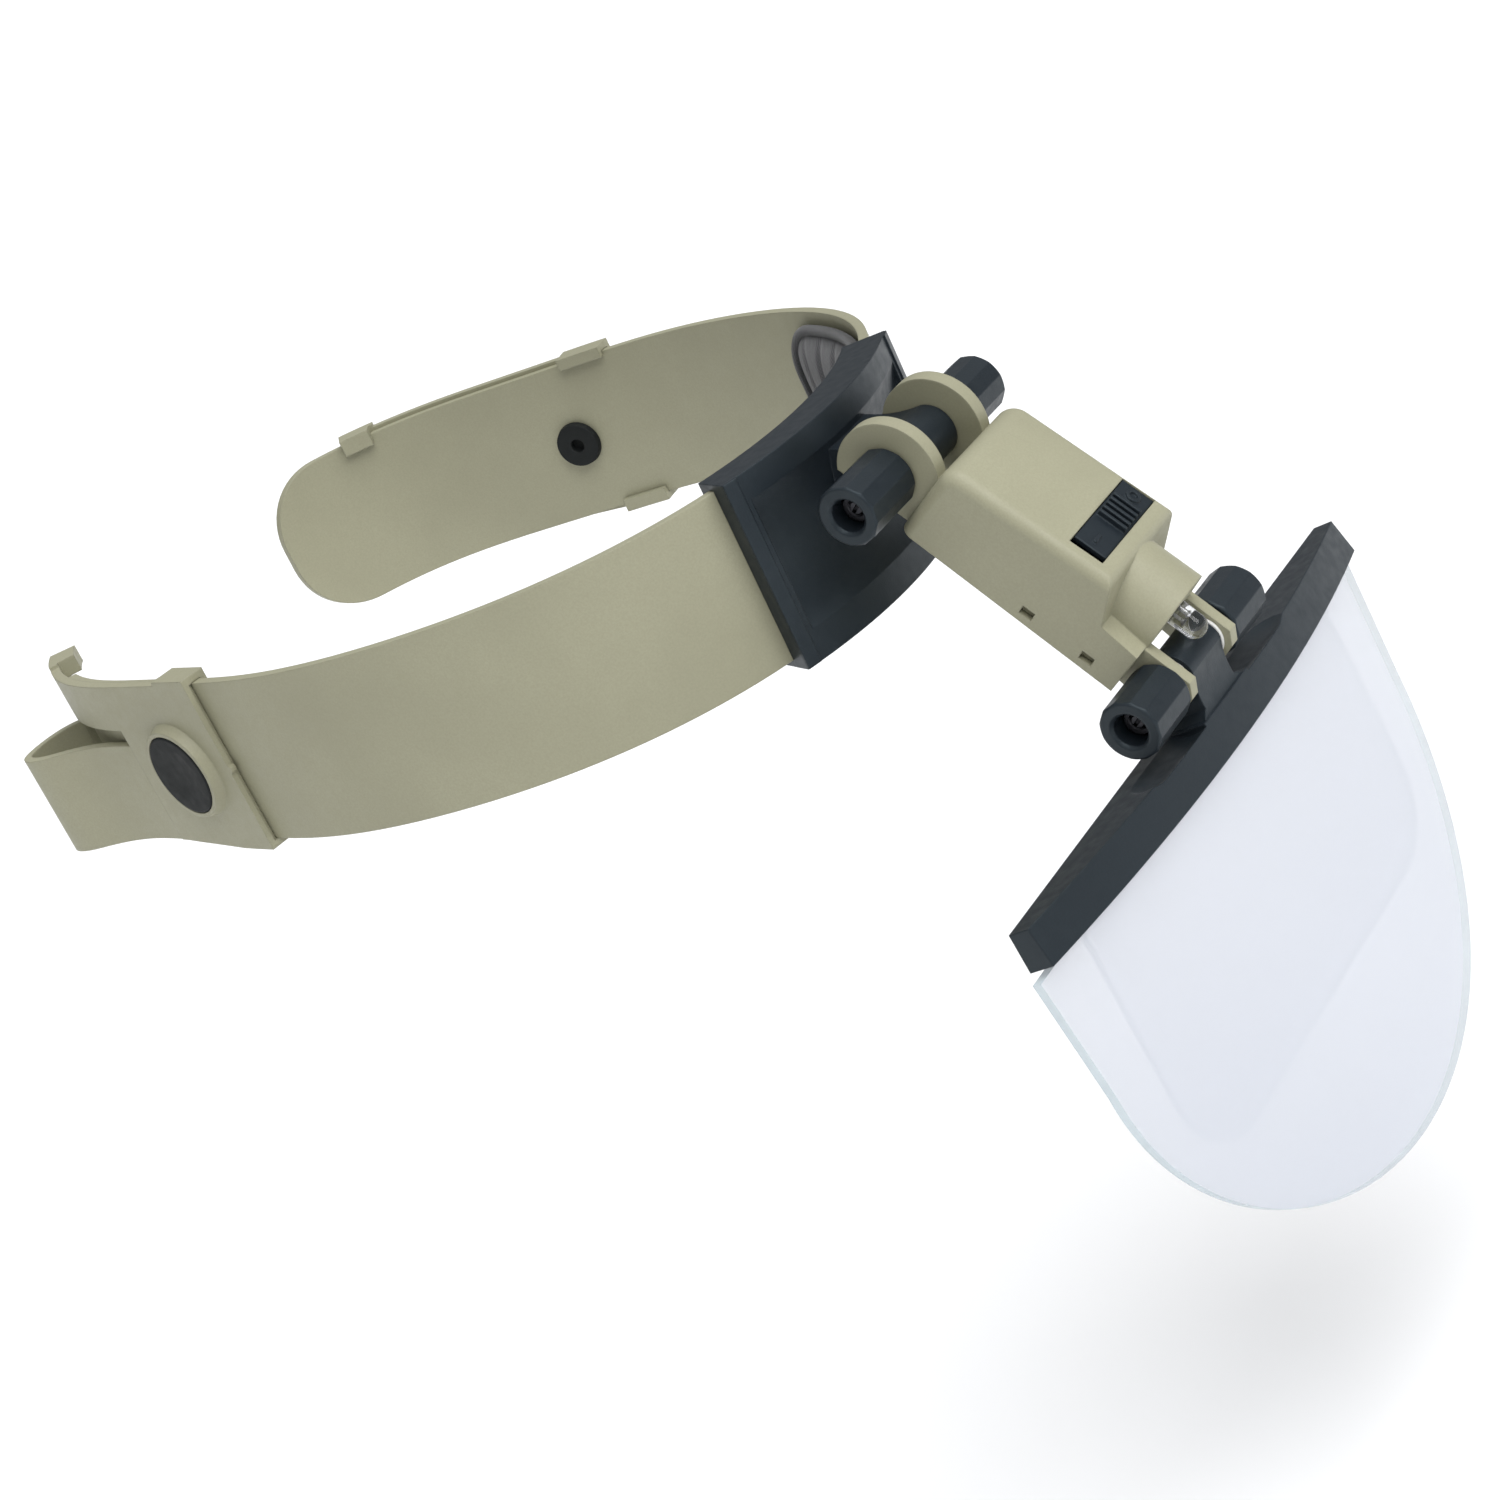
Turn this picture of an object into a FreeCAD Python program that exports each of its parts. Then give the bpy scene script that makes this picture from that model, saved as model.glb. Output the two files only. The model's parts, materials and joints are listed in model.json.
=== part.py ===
import FreeCAD, Part
import math
import os

# Head visor magnifier with a tilting battery lamp and a tilting clear visor.
# Millimetres.  +Z up, -Y the wearer's forward direction, +X the wearer's left.
# The origin is the middle of the head opening at half the height of the band.

os.makedirs("parts", exist_ok=True)
Vec = FreeCAD.Vector

# ---- head band -----------------------------------------------------------------
OVAL = (85.2, 6.55, 11.55, 0.4, -0.95, 1.25, -0.85)  # cosine terms of the oval's radius
STRIP_HALF = 18.0          # half the height of the band
STRIP_T = 2.0              # thickness, inwards from the oval
STRIP_END_RIGHT = -147.0   # angle round the oval where the wearer's right end stops
STRIP_END_LEFT = 159.0
END_ROUND = 15.5           # corner radius of the strip's ends
FIT = 0.08                 # gap between fixed pieces that touch

# ---- rear clips ----------------------------------------------------------------
CLIP_RIGHT = 97.0          # angle of the clip's front edge, wearer's right
CLIP_LEFT = 91.5
CLIP_SPAN = 52.0
CLIP_T = 2.1
BOSS_AT = 12.3             # boss centre, degrees behind the clip's front edge
BOSS_Z = -0.7              # and its height
BOSS_R = 11.3
BUTTON_R = 8.9
STEM_R = 2.6
LOOP_T = 1.8
LOOP_TOP = 4.6
LOOP_BOTTOM = -18.0
LOOP_ROUND = 5.0           # radius of the loop's lower rear corner
ARM_LOW = 8.4              # the long arm above the loop: its lower and upper edges
ARM_TOP = 18.8
CLIP_TOP = 19.6
CLIP_BOTTOM = -19.4
EDGE_GAP = 0.8             # undercut that leaves a dark line at the clip's front edge
NUB_R = 0.9                # locating nub in the middle of that edge

# ---- front carrier and pad -----------------------------------------------------
CARRIER_ANGLE = 17.5       # half the span of the carrier, in degrees round the oval
CARRIER_HALF = 19.5
CARRIER_OUT = 4.4
SCOOP_R = 34.0             # radius of the long hollow across the carrier's face
SCOOP_DEPTH = 2.9
RIB_PROUD = 0.4            # how far the plate's end ribs stand proud
LUG_HALF = 7.2             # half the width of the lug, and its root, mid and crown points
LUG_ROOT = -101.5
LUG_HIGH = 14.6
LUG_LOW = -11.0
BARREL_R = 5.4
PAD_ANGLE = 53.0
PAD_HALF = 15.6
PAD_T = 7.0

# ---- lamp, in its own frame: forward along the lamp, across, and outward ---------
HINGE_A = (0.0, -119.3, 6.5)
LAMP_PITCH = 52.0
HOUSING_HALF = 14.4
REAR_ROUND = 4.2           # radius of the housing's upper rear edge
INNER_SLANT = 1.8          # slanted corner inside that edge, so that the wall stays even
SIDE_ROUND = 2.6           # radius of the housing's other outer edges
WALL = 1.35
EAR_IN = 7.6
EAR_OUT = 10.85
EAR_R = 10.5
HINGE_B = (63.4, -3.1)     # lamp frame: forward, outward
TAB_IN = 8.2
TAB_OUT = 10.85
SNOUT_R = 9.9
SNOUT_AXIS = 2.5
SNOUT_END = 56.9
LED_AXIS = 4.8
LED_R = 2.5
SWITCH_POCKET = (34.5, 41.7, -11.2, 12.8)
POCKET_FLOOR = 11.45
SWITCH_TOP = 12.2          # top of the slider's base, under its ribs
WINDOWS = ((35.5, -4.1), (49.1, -4.5))  # latch windows: forward, outward
SWITCH_TRAVEL = 2.1
CELL_R = 5.9               # two short round cells side by side
CELL_LENGTH = 30.2
CELL_PITCH = 6.1
CELL_AXIS = 1.6
CELL_START = 10.6

# ---- hinges --------------------------------------------------------------------
BOLT_R = 1.5
RUNNING = 0.06             # radial clearance of a running fit
KNOB_R = 6.1
KNOB_SIDES = 12
KNOB_A_OUT = 27.0
KNOB_B_OUT = 25.4
KNOB_IN = 11.2
RECESS_R = 3.3
RECESS_DEPTH = 5.2
BOLT_A_HALF = 23.4
BOLT_B_HALF = 21.8
VISOR_LUG_HALF = 6.6
WASHER_IN = 6.7

# ---- visor, in a frame at the lower hinge: forward, across and up -----------------
VISOR_PITCH = -11.35
SHEET_PITCH = -4.9
BRIM_HALF = 72.5
BRIM_TOP = -9.3
BRIM_REAR = -8.8
BRIM_FRONT = -4.4          # forward position of the front ridge at the brim's ends
BRIM_BULGE = 8.0           # how far the ridge runs forward of that in the middle
SKIRT = 7.8
SKIRT_FLARE = 0.8
TROUGH_R = 10.5            # hollows in the brim's top that give the visor knobs room
TROUGH_SPAN = (10.1, 26.6)  # each hollow's straight stretch; beyond it the hollow runs out round
SHEET_R = 313.0
SHEET_T = 1.8
SHEET_FRONT = 3.7          # forward position of the sheet's outer face in the middle
SHEET_TOP = -12.2
SHEET_TUCK = -19.0         # the sheet is narrower above this, where it sits inside the brim
SHEET_STRAIGHT = -46.0     # where the straight sides end and the rounded lower edge starts
SHEET_LOW = -105.4
SHEET_HALF = 71.8          # at the end of the straight sides
SHEET_HALF_TOP = 74.2
LENS_HALF = 58.0
LENS_LOW = -75.0
LENS_BACK = -5.9
LENS_T = 1.6
LENS_CORNER = 17.0


def cosd(a):
    return math.cos(math.radians(a))


def sind(a):
    return math.sin(math.radians(a))


def oval_frame(angle):
    """Point of the oval at an angle from the front, with its outward and backward directions."""
    t = math.radians(angle)
    r = sum(c * math.cos(k * t) for k, c in enumerate(OVAL))
    dr = sum(-k * c * math.sin(k * t) for k, c in enumerate(OVAL))
    point = Vec(r * math.sin(t), -r * math.cos(t), 0)
    along = Vec(dr * math.sin(t) + r * math.cos(t), -dr * math.cos(t) + r * math.sin(t), 0)
    along.normalize()
    return point, Vec(along.y, -along.x, 0), along


def oval(angle, offset, z=0.0):
    point, out, _ = oval_frame(angle)
    return Vec(point.x + out.x * offset, point.y + out.y * offset, z)


def spline(points):
    curve = Part.BSplineCurve()
    curve.interpolate(points)
    return curve.toShape()


def band_wall(a0, a1, inner, outer, z0, z1):
    """A wall that follows the oval from angle a0 to a1; inner and outer may vary along it."""
    n = max(3, int(round(abs(a1 - a0) / 6.0)) + 1)
    angles = [a0 + (a1 - a0) * i / (n - 1) for i in range(n)]
    if callable(inner) or callable(outer):
        angles = [a0 + (a1 - a0) * i / 16.0 for i in range(17)]
    fi = inner if callable(inner) else (lambda a: inner)
    fo = outer if callable(outer) else (lambda a: outer)
    po = [oval(a, fo(a), z0) for a in angles]
    pi = [oval(a, fi(a), z0) for a in reversed(angles)]
    ends = [Part.makeLine(po[-1], pi[0]), Part.makeLine(pi[-1], po[0])]
    wire = Part.Wire([spline(po), ends[0], spline(pi), ends[1]])
    return Part.Face(wire).extrude(Vec(0, 0, z1 - z0))


def matrix(x_axis, y_axis, z_axis, origin):
    return FreeCAD.Matrix(
        x_axis.x, y_axis.x, z_axis.x, origin.x,
        x_axis.y, y_axis.y, z_axis.y, origin.y,
        x_axis.z, y_axis.z, z_axis.z, origin.z,
        0, 0, 0, 1,
    )


def at_band(shape, angle, z=0.0):
    """Place a shape whose X is outward, Y backward round the band and Z up."""
    point, out, along = oval_frame(angle)
    return shape.transformed(matrix(out, along, Vec(0, 0, 1), Vec(point.x, point.y, z)))


def in_band_frame(target, angle):
    """Outward and backward coordinates of a plan point, seen from the band frame at an angle."""
    point, out, along = oval_frame(angle)
    d = Vec(target.x - point.x, target.y - point.y, 0)
    return d.dot(out), d.dot(along)


def pitched(shape, origin, pitch):
    """Place a shape whose X is forward and down by the pitch, Y is the wearer's left, Z is outward."""
    c, s = cosd(pitch), sind(pitch)
    return shape.transformed(matrix(Vec(0, -c, -s), Vec(1, 0, 0), Vec(0, -s, c), Vec(*origin)))


def prism(points, half, lo=None):
    """Extrude a forward/outward outline across the part, from lo to half (symmetric by default)."""
    lo = -half if lo is None else lo
    pts = [Vec(u, lo, n) for u, n in points]
    return Part.Face(Part.makePolygon(pts + [pts[0]])).extrude(Vec(0, half - lo, 0))


def rod(r, x0, x1, u=0.0, n=0.0):
    """A cylinder along the hinge direction of the lamp and visor frames."""
    return Part.makeCylinder(r, x1 - x0, Vec(u, x0, n), Vec(0, 1, 0))


def fuse(parts):
    body = parts[0].multiFuse(parts[1:]) if len(parts) > 1 else parts[0]
    return body.removeSplitter()


def cut(body, tools):
    for tool in tools:
        body = body.cut(tool)
    return body


def rounded(shape, radius, test):
    """Fillet the edges that pass the test; leave the shape as it is when none do."""
    edges = [e for e in shape.Edges if test(e)]
    return shape.makeFillet(radius, edges) if edges else shape


def mid(edge):
    return edge.valueAt((edge.FirstParameter + edge.LastParameter) / 2.0)


def save(name, shape):
    solids = shape.Solids
    if len(solids) != 1 or not shape.isValid():
        print("CHECK", name, len(solids), shape.isValid())
    solid = solids[0] if len(solids) == 1 else shape
    solid.exportStep("parts/" + name + ".step")


def mirrored(shape):
    return shape.mirror(Vec(0, 0, 0), Vec(1, 0, 0))


# ---- head band pieces -------------------------------------------------------------
def corner_tool(sign_end, sign_z, half, r, depth):
    """Removes one corner of a wall's end so that it is rounded."""
    box = Part.makeBox(depth * 2, r + 4, r + 4, Vec(-depth, 0, 0))
    box.translate(Vec(0, -r, -r))
    round_bar = Part.makeCylinder(r, depth * 2, Vec(-depth, -r, -r), Vec(1, 0, 0))
    tool = box.cut(round_bar)
    if sign_end < 0:
        tool = tool.mirror(Vec(0, 0, 0), Vec(0, 1, 0))
    if sign_z < 0:
        tool = tool.mirror(Vec(0, 0, 0), Vec(0, 0, 1))
    tool.translate(Vec(0, 0, sign_z * half))
    return tool


def headband_strip():
    body = band_wall(STRIP_END_RIGHT, STRIP_END_LEFT, -STRIP_T, 0.0, -STRIP_HALF, STRIP_HALF)
    tools = []
    for angle, sign in ((STRIP_END_LEFT, 1), (STRIP_END_RIGHT, -1)):
        for sz in (1, -1):
            tools.append(at_band(corner_tool(sign, sz, STRIP_HALF, END_ROUND, 6), angle))
    for angle in (CLIP_LEFT + BOSS_AT, -(CLIP_RIGHT + BOSS_AT)):
        hole = Part.makeCylinder(STEM_R + FIT, 8, Vec(-4, 0, 0), Vec(1, 0, 0))
        tools.append(at_band(hole, angle, BOSS_Z))
    return cut(body, tools)


def loop_wall(angle, end_angle):
    """The bulging strap loop: leaves the band behind the boss, turns inwards and comes back to it."""
    landing = in_band_frame(oval(end_angle, 1.2), angle)
    before = in_band_frame(oval(end_angle + 0.6, 4.4), angle)
    centre = [(0.95, 14.0), (0.9, 22.0), (1.6, 33.0), (4.6, 43.5), (6.9, 50.0), (6.4, 55.0), (1.6, 57.6),
              before, landing]
    curve = Part.BSplineCurve()
    curve.interpolate([Vec(x, y, LOOP_BOTTOM) for x, y in centre])
    first, last = curve.FirstParameter, curve.LastParameter
    left, right = [], []
    for i in range(33):
        t = first + (last - first) * i / 32.0
        p = curve.value(t)
        d = curve.tangent(t)[0]
        side = Vec(d.y, -d.x, 0).multiply(LOOP_T / 2.0)
        left.append(p + side)
        right.append(p - side)
    right.reverse()
    wire = Part.Wire([spline(left), Part.makeLine(left[-1], right[0]), spline(right),
                      Part.makeLine(right[-1], left[0])])
    wall = Part.Face(wire).extrude(Vec(0, 0, LOOP_TOP - LOOP_BOTTOM))
    corner = corner_tool(1, -1, -LOOP_BOTTOM, LOOP_ROUND, 14.0)
    corner.translate(Vec(0, wall.BoundBox.YMax, 0))
    return at_band(wall.cut(corner), angle)


def below_slope():
    """Everything under the clip's lower edge, which rises from the front tab to the loop."""
    edge = [(-5.0, CLIP_BOTTOM), (16.0, LOOP_BOTTOM), (90.0, LOOP_BOTTOM), (90.0, -24.0), (-5.0, -24.0)]
    points = [Vec(-40.0, y, z) for y, z in edge]
    return Part.Face(Part.makePolygon(points + [points[0]])).extrude(Vec(50.0, 0, 0))


def clip(start, strip_passes):
    """Rear clip for the wearer's left; the other one is its mirror image."""
    boss_angle = start + BOSS_AT
    body = band_wall(start, start + CLIP_SPAN, FIT, CLIP_T, CLIP_BOTTOM, CLIP_TOP)
    wide = (-1.5, 7.0)
    body = cut(body, [
        band_wall(start + 9, start + CLIP_SPAN - 5.5, *wide, ARM_TOP, 23.0),
        band_wall(start + 26, start + CLIP_SPAN - 3.4, *wide, -23.0, ARM_LOW),
        band_wall(start - 1, start + 0.5, -1.0, EDGE_GAP, -STRIP_HALF, STRIP_HALF),
        at_band(below_slope(), boss_angle),
    ])
    front = (start + 0.02, start + 8.9)
    hook = (start + CLIP_SPAN - 5.0, start + CLIP_SPAN - 0.02)
    lips = [
        band_wall(*front, -3.5, 1.1, STRIP_HALF + FIT, CLIP_TOP),
        band_wall(*front, -3.5, -STRIP_T - 0.2, 17.0, CLIP_TOP - 0.2),
        band_wall(*front, -3.5, 1.1, CLIP_BOTTOM, -STRIP_HALF - FIT),
        band_wall(*front, -3.5, -STRIP_T - 0.2, CLIP_BOTTOM + 0.4, -16.4),
        band_wall(*hook, -3.7, 1.1, STRIP_HALF + FIT, CLIP_TOP),
        band_wall(*hook, -3.7, (-STRIP_T - 0.2) if strip_passes else 1.1, 15.8, CLIP_TOP - 0.2),
    ]
    nub = Part.makeCylinder(NUB_R, CLIP_T - EDGE_GAP, Vec(EDGE_GAP, 0, 0), Vec(1, 0, 0))
    lips.append(at_band(nub, start + 0.1, BOSS_Z))
    boss = at_band(Part.makeCone(BOSS_R, 9.9, 3.4, Vec(0.9, 0, 0), Vec(1, 0, 0)), boss_angle, BOSS_Z)
    loop = loop_wall(boss_angle, start + CLIP_SPAN - 1.6)
    loop = loop.cut(band_wall(start, start + CLIP_SPAN + 9, -8, 0.5, -25, 25))
    body = fuse([body] + lips + [boss, loop])
    recess = Part.makeCylinder(BUTTON_R + 0.12, 3.0, Vec(3.1, 0, 0), Vec(1, 0, 0))
    bore = Part.makeCylinder(STEM_R + FIT, 12, Vec(-4, 0, 0), Vec(1, 0, 0))
    return cut(body, [at_band(recess, boss_angle, BOSS_Z), at_band(bore, boss_angle, BOSS_Z)])


def clip_button(angle):
    """Press stud that holds a clip: a dished head outside, a stem, and a washer-like end inside."""
    head = Part.makeCylinder(BUTTON_R, 1.35, Vec(3.15, 0, 0), Vec(1, 0, 0))
    head = rounded(head, 0.5, lambda e: mid(e).x > 4.4)
    dish = Part.makeSphere(60, Vec(4.5 + 59.62, 0, 0))
    stem = Part.makeCylinder(STEM_R, 6.2, Vec(-2.7, 0, 0), Vec(1, 0, 0))
    end = Part.makeCone(5.3, 5.0, 1.5, Vec(-2.3, 0, 0), Vec(-1, 0, 0))
    body = fuse([head.cut(dish), stem, end])
    body = body.cut(Part.makeCylinder(1.6, 3.0, Vec(-5.0, 0, 0), Vec(1, 0, 0)))
    return at_band(body, angle, BOSS_Z)


def front_carrier():
    """Scooped plate that slides on the band, with a forward lug and barrel for the lamp hinge."""
    ya, za = HINGE_A[1], HINGE_A[2]
    body = band_wall(-CARRIER_ANGLE, CARRIER_ANGLE, FIT, CARRIER_OUT, -CARRIER_HALF, CARRIER_HALF)
    centre_y, ring = -32.1, 71.1 + CARRIER_OUT  # circle through the plate's outer face
    scoop = Part.makeTorus(ring - SCOOP_DEPTH + SCOOP_R, SCOOP_R, Vec(0, 0, 0), Vec(0, 0, 1), 0, 360, 44)
    scoop.rotate(Vec(0, 0, 0), Vec(0, 0, 1), -90 - 22)
    scoop.translate(Vec(0, centre_y, 0.5))
    body = body.cut(scoop)
    lug = [
        Part.makeLine(Vec(-LUG_HALF, LUG_ROOT, LUG_HIGH), Vec(-LUG_HALF, LUG_ROOT, LUG_LOW)),
        Part.Arc(Vec(-LUG_HALF, LUG_ROOT, LUG_LOW), Vec(-LUG_HALF, -108.6, -2.6),
                 Vec(-LUG_HALF, ya, za - BARREL_R)).toShape(),
        Part.Arc(Vec(-LUG_HALF, ya, za - BARREL_R), Vec(-LUG_HALF, ya - BARREL_R, za),
                 Vec(-LUG_HALF, ya, za + BARREL_R)).toShape(),
        Part.Arc(Vec(-LUG_HALF, ya, za + BARREL_R), Vec(-LUG_HALF, -110.0, 11.9),
                 Vec(-LUG_HALF, LUG_ROOT, LUG_HIGH)).toShape(),
    ]
    lug = Part.Face(Part.Wire(lug)).extrude(Vec(2 * LUG_HALF, 0, 0))
    lug = lug.cut(band_wall(-CARRIER_ANGLE - 3, CARRIER_ANGLE + 3, -30, 0.7, -25, 25))
    a = CARRIER_ANGLE - 0.02
    lips = [
        band_wall(-a, a, -4.6, 1.2, STRIP_HALF + FIT, CARRIER_HALF),
        band_wall(-a, a, -4.6, -STRIP_T - 0.2, 16.3, CARRIER_HALF - 0.3),
        band_wall(-a, a, -3.8, 1.2, -CARRIER_HALF, -STRIP_HALF - FIT),
        band_wall(-a, a, -3.8, -STRIP_T - 0.2, -CARRIER_HALF + 0.3, -16.3),
    ]
    high = CARRIER_HALF - 0.1
    ribs = [band_wall(s * (a - 1.6), s * a, 1.0, CARRIER_OUT + RIB_PROUD, -high, high) for s in (1, -1)]
    body = fuse([body, lug] + lips + ribs)
    bolt_hole = Part.makeCylinder(BOLT_R + 0.03, 20, Vec(-10, ya, za), Vec(1, 0, 0))
    return body.cut(bolt_hole)


def forehead_pad():
    def inner(a):
        t = abs(a) / PAD_ANGLE
        return -STRIP_T - 0.2 - PAD_T * max(0.0, 1.0 - t ** 6) - 0.8

    body = band_wall(-PAD_ANGLE, PAD_ANGLE, inner, -STRIP_T - 0.2, -PAD_HALF, PAD_HALF)
    tools = []
    for s in (1, -1):
        for sz in (1, -1):
            tools.append(at_band(corner_tool(s, sz, PAD_HALF, 11.0, 14), s * PAD_ANGLE))
    return cut(body, tools)


def hinge_bolt(u, n, half):
    """Plain-shank bolt across a hinge, with a chamfered end and a slotted end inside the knobs."""
    shank = rod(BOLT_R, -half, half, u, n)
    shank = shank.makeChamfer(0.3, [e for e in shank.Edges if e.Curve.TypeId == "Part::GeomCircle"])
    slot = Part.makeBox(0.7, 1.2, 4.0, Vec(u - 0.35, -half - 0.2, n - 2.0))
    return shank.cut(slot)


def knob(outer_face):
    """Faceted thumb knob along +Y, from its thrust face to its recessed outer face."""
    pts = []
    for i in range(KNOB_SIDES + 1):
        a = 2 * math.pi * i / KNOB_SIDES
        pts.append(Vec(KNOB_R * math.cos(a), KNOB_IN, KNOB_R * math.sin(a)))
    length = outer_face - KNOB_IN
    body = Part.Face(Part.makePolygon(pts)).extrude(Vec(0, length, 0))
    out = Vec(0, 1, 0)
    small = KNOB_R - 0.5
    inner_chamfer = Part.makeCone(small, small + length, length, Vec(0, KNOB_IN, 0), out)
    outer_chamfer = Part.makeCone(small, small + length, length, Vec(0, outer_face, 0), Vec(0, -1, 0))
    body = body.common(inner_chamfer).common(outer_chamfer)
    recess = rod(RECESS_R, outer_face - RECESS_DEPTH, outer_face + 1)
    lead = Part.makeCone(RECESS_R, RECESS_R + 1.2, 1.2, Vec(0, outer_face - 0.6, 0), out)
    bore = rod(BOLT_R + RUNNING, KNOB_IN - 1, outer_face + 1)
    relief = rod(3.6, KNOB_IN - 0.6, KNOB_IN + 1.0)
    return cut(body, [recess, lead, bore, relief])


# ---- lamp pieces --------------------------------------------------------------------
def lamp_housing():
    outline = [(7.5, -5.9), (9.0, 12.1), (45.1, 13.2), (48.1, 3.6), (56.6, 2.5), (56.1, -7.3)]
    body = prism(outline, HOUSING_HALF)

    def rear_top(e):
        m = mid(e)
        return abs(m.y) < 0.01 and abs(m.x - 9.0) < 0.1 and abs(m.z - 12.1) < 0.1

    def soft(e):
        m = mid(e)
        side = abs(abs(m.y) - HOUSING_HALF) < 0.01 and m.z > 9.0 and m.x < 44.9
        return side or (abs(m.y) < 0.01 and abs(m.x - 45.1) < 0.1)

    body = rounded(body, REAR_ROUND, rear_top)
    body = rounded(body, SIDE_ROUND, soft)
    inner = [(7.5 + WALL, -9.0), (8.9 + WALL, 12.1 - WALL - INNER_SLANT),
             (9.0 + WALL + INNER_SLANT, 12.1 - WALL), (45.1 - 1.9, 13.2 - WALL), (48.1 - WALL, 3.6 - WALL),
             (56.6 - WALL, 2.5 - WALL), (56.1 - WALL, -9.0)]
    body = body.cut(prism(inner, HOUSING_HALF - WALL))
    tab = [(55.0, -7.0), (66.6, -8.3), (68.9, -6.0), (68.9, -0.6), (66.9, 2.0), (55.0, 2.3)]
    ears = []
    for s in (1, -1):
        lo, hi = sorted((s * EAR_IN, s * EAR_OUT))
        disc = rod(EAR_R, lo, hi)
        disc = disc.cut(Part.makeBox(40, 20, 20, Vec(-20, s * 9 - 10, -25.9)))
        keep = prism(inner, HOUSING_HALF - WALL)
        ears.append(disc.cut(keep))
        lo, hi = sorted((s * TAB_IN, s * TAB_OUT))
        ears.append(prism(tab, hi, lo))
    arch = Part.makeCylinder(SNOUT_R, SNOUT_END - 44.0, Vec(44.0, 0, SNOUT_AXIS), Vec(1, 0, 0))
    arch = arch.cut(Part.makeBox(40, 40, 20, Vec(30, -20, SNOUT_AXIS - 20.4)))
    hollow = Part.makeCylinder(SNOUT_R - 1.3, SNOUT_END - 1.3 - 43.0, Vec(43.0, 0, SNOUT_AXIS), Vec(1, 0, 0))
    hollow = hollow.cut(Part.makeBox(40, 40, 20, Vec(30, -20, SNOUT_AXIS - 20.0 - WALL + 0.4)))
    body = fuse([body, arch] + ears)
    u0, u1, x0, x1 = SWITCH_POCKET
    pocket = Part.makeBox(u1 - u0, x1 - x0, 4.0, Vec(u0, x0, POCKET_FLOOR))
    tools = [
        hollow,
        pocket,
        Part.makeCylinder(LED_R + 0.05, 12, Vec(50, 0, LED_AXIS), Vec(1, 0, 0)),
        rod(BOLT_R + RUNNING, -20, 20),
        rod(BOLT_R + 0.03, -20, 20, *HINGE_B),
    ]
    for s in (1, -1):
        for u, n in WINDOWS:
            tools.append(Part.makeBox(2.7, 4.0, 1.9, Vec(u - 1.35, s * HOUSING_HALF - 2.0, n - 0.95)))
    return cut(body, tools)


def battery_cover():
    """Inner lid of the lamp, with four sprung tongues behind the windows in the side walls."""
    g = 0.12
    u0, u1, half = 7.75 + WALL + g, 56.1 - WALL - g, HOUSING_HALF - WALL - g
    plate = prism([(u0, -5.95), (u0 + 0.1, -4.9), (u1, -6.1), (u1, -7.3)], half)
    parts = [plate]
    for s in (1, -1):
        for u, n in WINDOWS:
            y = s * half - (0.9 if s > 0 else 0.0)
            parts.append(Part.makeBox(3.6, 0.9, 3.2, Vec(u - 1.8, y, n - 2.0)))
    for i in range(5):
        parts.append(Part.makeBox(0.8, 12.0, 0.45, Vec(14.0 + 2.0 * i, -6.0, -6.55 - 0.05 * i)))
    return fuse(parts)


def switch_slider():
    u0, u1, x0, x1 = SWITCH_POCKET
    a, b = x0 + SWITCH_TRAVEL + 0.15, x1 - 0.12
    base = Part.makeBox(u1 - u0 - 0.24, b - a, 1.1, Vec(u0 + 0.12, a, POCKET_FLOOR + 0.05))
    parts = [base]
    first, centre = 0.5 * (a + b) - 2.0, 0.5 * (u0 + u1)
    for i in range(5):
        parts.append(Part.makeBox(u1 - u0 - 1.2, 0.75, 1.6, Vec(u0 + 0.6, first + 1.6 * i, SWITCH_TOP)))
    parts.append(Part.makeBox(0.7, 2.6, 0.9, Vec(centre - 0.35, a + 1.6, SWITCH_TOP)))
    ring = Part.makeCylinder(1.5, 0.9, Vec(centre, b - 2.6, SWITCH_TOP))
    parts.append(ring.cut(Part.makeCylinder(0.85, 3.0, Vec(centre, b - 2.6, SWITCH_TOP - 0.2))))
    return fuse(parts)


def led_bulb():
    lens = Part.makeCylinder(LED_R, 6.2, Vec(55.0, 0, LED_AXIS), Vec(1, 0, 0))
    dome = Part.makeSphere(LED_R, Vec(61.2, 0, LED_AXIS))
    flange = Part.makeCylinder(2.9, 1.0, Vec(54.2, 0, LED_AXIS), Vec(1, 0, 0))
    return fuse([lens, dome, flange])


def led_board():
    board = Part.makeBox(1.2, 13.0, 4.2, Vec(50.2, -6.5, LED_AXIS - 2.3))
    leads = [Part.makeCylinder(0.28, 2.7, Vec(51.4, y, LED_AXIS), Vec(1, 0, 0)) for y in (-1.27, 1.27)]
    return fuse([board] + leads)


def battery(side):
    y = side * CELL_PITCH
    can = Part.makeCylinder(CELL_R, CELL_LENGTH - 1.4, Vec(CELL_START, y, CELL_AXIS), Vec(1, 0, 0))
    can = rounded(can, 0.5, lambda e: e.Curve.TypeId == "Part::GeomCircle")
    nub_at = CELL_START + CELL_LENGTH - 1.4 if side > 0 else CELL_START
    direction = Vec(1, 0, 0) if side > 0 else Vec(-1, 0, 0)
    shift = 0.0 if side > 0 else 0.9
    nub = Part.makeCylinder(1.9, 0.9, Vec(nub_at, y, CELL_AXIS), direction)
    body = fuse([can, nub])
    body.translate(Vec(shift, 0, 0))
    return body


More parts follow.
